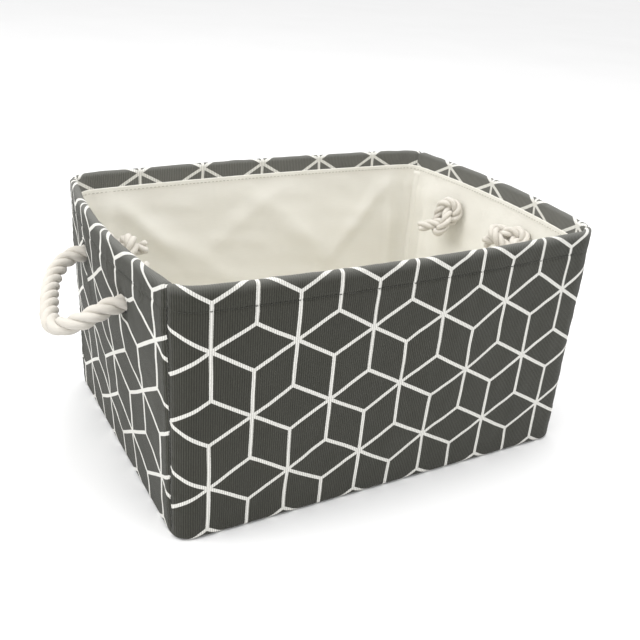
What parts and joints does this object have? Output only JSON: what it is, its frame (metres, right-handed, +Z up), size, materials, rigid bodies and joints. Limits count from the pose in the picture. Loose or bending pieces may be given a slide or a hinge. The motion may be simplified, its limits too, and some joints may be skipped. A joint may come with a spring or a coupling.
{
  "type": "fabric storage bin",
  "caption": "Rectangular fabric storage bin with a rolled wire-ring rim, a plain liner, stiffened walls and twisted rope handles that swing on the ends.",
  "frame": {"origin": "middle of the underside, on the surface that the bin stands on", "axes": "+Z up, +X along the long side towards the right end, -Y towards the front panel"},
  "size_m": [0.511, 0.2934, 0.21],
  "materials": {
    "printed_cloth": "matte ribbed cloth with a printed off-white rhombus line pattern",
    "liner_cloth": "matte plain weave",
    "cotton_rope": "matte twisted cotton",
    "dark_thread": "matte sewing thread",
    "light_thread": "matte sewing thread",
    "stiffener_foam": "soft foam sheet",
    "base_board": "flat board",
    "ring_steel": "drawn wire"
  },
  "bodies": {
    "bin": {"outer_front_panel": "printed_cloth", "outer_back_panel": "printed_cloth", "outer_left_end_panel": "printed_cloth", "outer_right_end_panel": "printed_cloth", "outer_base_panel": "printed_cloth", "rim_wire_ring": "ring_steel", "front_wall_stiffener": "stiffener_foam", "back_wall_stiffener": "stiffener_foam", "left_end_stiffener": "stiffener_foam", "right_end_stiffener": "stiffener_foam", "base_board": "base_board", "liner_front_panel": "liner_cloth", "liner_back_panel": "liner_cloth", "liner_left_end_panel": "liner_cloth", "liner_right_end_panel": "liner_cloth", "liner_base_panel": "liner_cloth", "left_front_rope_knot": "cotton_rope", "left_rear_rope_knot": "cotton_rope", "right_front_rope_knot": "cotton_rope", "right_rear_rope_knot": "cotton_rope", "hem_outside_thread": "dark_thread", "corner_seam_stitching": "dark_thread", "hem_inside_thread": "light_thread"},
    "left_handle": {"left_rope_handle": "cotton_rope"},
    "right_handle": {"right_rope_handle": "cotton_rope"}
  },
  "joints": [
    {"name": "left_handle_swing", "type": "hinge", "parent": "bin", "child": "left_handle", "pos_m": [-0.20808, 0, 0.166], "axis": [0, 1, 0], "range_deg": [-62, 100]},
    {"name": "right_handle_swing", "type": "hinge", "parent": "bin", "child": "right_handle", "pos_m": [0.20808, 0, 0.166], "axis": [0, -1, 0], "range_deg": [-62, 100]}
  ]
}
